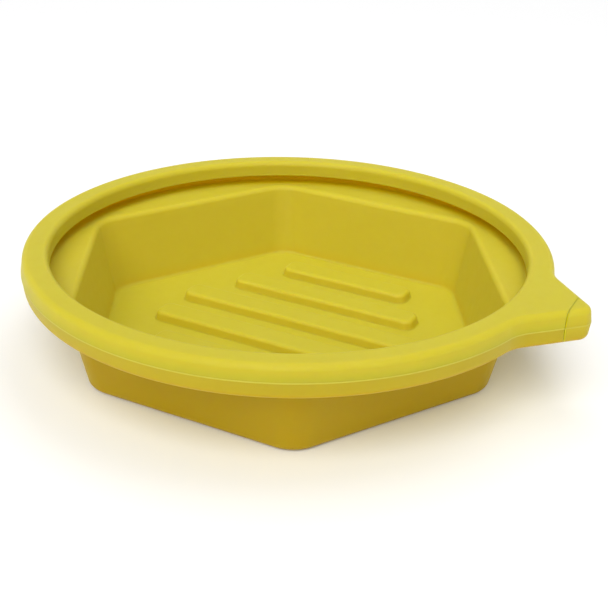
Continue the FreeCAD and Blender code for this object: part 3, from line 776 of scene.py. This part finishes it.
def polyethylene():
    """Mustard polyethylene with a satin moulded skin: painted light and shade, soft mottling, grain, faint
    scuffs and specks.
    """
    tree = Tree("yellow_polyethylene")
    place = tree.node("ShaderNodeTexCoord").outputs["Object"]
    cloud = tree.noise(place, 5.0, 3.0)
    mottle = tree.noise(place, 60.0, 4.0, 0.6)
    grain = tree.noise(place, 1400.0, 2.0, 0.6)
    peel = tree.noise(place, 260.0, 3.0, 0.5)
    stretched = tree.node("ShaderNodeMapping", {}, {"Vector": place, "Scale": (4.0, 90.0, 30.0),
                                                    "Rotation": (0, 0, 0.4)}).outputs[0]
    streak = tree.noise(stretched, 6.0, 5.0, 0.7)
    scuff = tree.ramp(streak, [(0.66, 0.0), (0.74, 1.0)])
    specks = tree.node("ShaderNodeTexVoronoi", {"feature": "F1"}, {"Vector": place, "Scale": 30.0})
    speck = tree.ramp(Number(tree, specks.outputs["Distance"]), [(0.0, 1.0), (0.022, 0.0)])
    chosen = tree.node("ShaderNodeSeparateColor", {}, {"Color": specks.outputs["Color"]})
    rare = Number(tree, chosen.outputs[0]) > 0.93
    labels = ("fading", "level", "shade", "channel")
    fading, level, shade, channel = (tree.attribute(label) for label in labels)
    # Painted light and shade: the pale tints where light falls, the deep orange where shade falls.
    tint = tree.mix(fading, SHADED_ORANGE, tree.mix(cloud, PALE, PALEST))
    tint = tree.mix(mottle * 0.35, tint, MOTTLED)
    tint = tree.mix(shade * 0.28, tint, BLACK)
    # Painted light in the hollow under the rim, standing in for light passing through the skin.
    tint = tree.mix(channel, tint, CHANNEL_GLOW)
    tint = tree.mix(scuff * level * 0.06, tint, SCUFFED)
    tint = tree.mix(speck * rare * 0.6, tint, SPECK)
    rough = 0.40 + mottle * 0.10
    values = {"Base Color": tint, "Roughness": rough, "IOR": 1.5, "Specular IOR Level": 0.14,
              "Subsurface Weight": 1.0, "Subsurface Radius": (1.0, 0.80, 0.15), "Subsurface Scale": 0.010}
    return tree.finish(values, [(peel, 0.0004, 0.10), (grain, 0.00008, 0.25)])


def flash():
    """The moulding line's paler, rougher polyethylene."""
    tree = Tree("seam_polyethylene")
    place = tree.node("ShaderNodeTexCoord").outputs["Object"]
    mottle = tree.noise(place, 90.0, 4.0, 0.7)
    grain = tree.noise(place, 900.0, 2.0, 0.6)
    tint = tree.mix(mottle, FLASH_DARK, FLASH_PALE)
    return tree.finish({"Base Color": tint, "Roughness": 0.46 + mottle * 0.12, "IOR": 1.5},
                       [(grain, 0.0001, 0.3)])


# ---------------------------------------------------------------- studio

def area_light(name, location, target, size, power):
    """A white rectangular soft box that faces its target."""
    light = bpy.data.lights.new(name, "AREA")
    light.shape = "RECTANGLE"
    light.size, light.size_y = size
    light.energy = power
    lamp = bpy.data.objects.new(name, light)
    lamp.location = location
    lamp.rotation_euler = (Vector(target) - Vector(location)).to_track_quat("-Z", "Y").to_euler()
    bpy.context.scene.collection.objects.link(lamp)


def studio():
    """A wide pale floor, a white surround, a broad sun and one soft box overhead."""
    mesh = bpy.data.meshes.new("studio_floor")
    edge = 40.0
    corners = [(-edge, -edge, 0), (edge, -edge, 0), (edge, edge, 0), (-edge, edge, 0)]
    mesh.from_pydata(corners, [], [(0, 1, 2, 3)])
    floor = bpy.data.objects.new("studio_floor", mesh)
    bpy.context.scene.collection.objects.link(floor)
    tree = Tree("studio_floor")
    mesh.materials.append(tree.finish({"Base Color": (0.97, 0.97, 0.97, 1), "Roughness": 0.9}, []))
    world = bpy.data.worlds.new("studio")
    bpy.context.scene.world = world
    world.use_nodes = True
    background = world.node_tree.nodes["Background"]
    background.inputs["Color"].default_value = (1, 1, 1, 1)
    background.inputs["Strength"].default_value = 0.54
    sun = bpy.data.lights.new("daylight", "SUN")
    sun.energy = 2.1
    sun.angle = math.radians(48)
    lamp = bpy.data.objects.new("daylight", sun)
    lamp.rotation_euler = Vector((-0.22, 0.88, -0.95)).to_track_quat("-Z", "Y").to_euler()
    bpy.context.scene.collection.objects.link(lamp)
    area_light("overhead", (0.15, 0.25, 1.9), (0, 0, 0.1), (1.3, 0.7), 6)


def camera():
    """The view: turned round the pan, looking down, rolled a little, and off its centre."""
    turn = math.radians(27.144)
    fall = math.radians(25.966)
    roll = math.radians(-1.518)
    aside, above, away = 0.0654 * RIM_RADIUS, 0.1316 * RIM_RADIUS, 4.4238 * RIM_RADIUS
    right = Vector((1, 0, 0))
    up = Vector((0, math.sin(fall), math.cos(fall)))
    ahead = Vector((0, math.cos(fall), -math.sin(fall)))
    across = right * math.cos(roll) - up * math.sin(roll)
    upward = right * math.sin(roll) + up * math.cos(roll)
    place = across * aside + upward * above - ahead * away
    data = bpy.data.cameras.new("camera")
    data.sensor_width = 36
    data.lens = 65.886
    data.clip_start = 0.05
    data.clip_end = 100
    eye = bpy.data.objects.new("camera", data)
    frame_axes = Matrix((across, upward, -ahead)).transposed().to_4x4()
    eye.matrix_world = Matrix.Rotation(turn, 4, "Z") @ Matrix.Translation(place) @ frame_axes
    bpy.context.scene.collection.objects.link(eye)
    bpy.context.scene.camera = eye


def assemble():
    """Build the pieces, put each on the pan's body and let it stand for its CAD node."""
    skin = polyethylene()
    line = flash()
    pieces = [
        (pan_body(skin), BODY_NODES, "yellow_polyethylene"),
        (rim_cover(skin), COVER_NODES, "yellow_polyethylene"),
        (spout_tip(skin), ["spout_tip"], "yellow_polyethylene"),
        (seam_bead(line), ["seam_bead"], "seam_polyethylene"),
    ]
    for piece, nodes, slot in pieces:
        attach(piece, "root")
        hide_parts(*nodes)


bpy.context.scene.view_settings.view_transform = "Standard"
camera()
studio()
assemble()
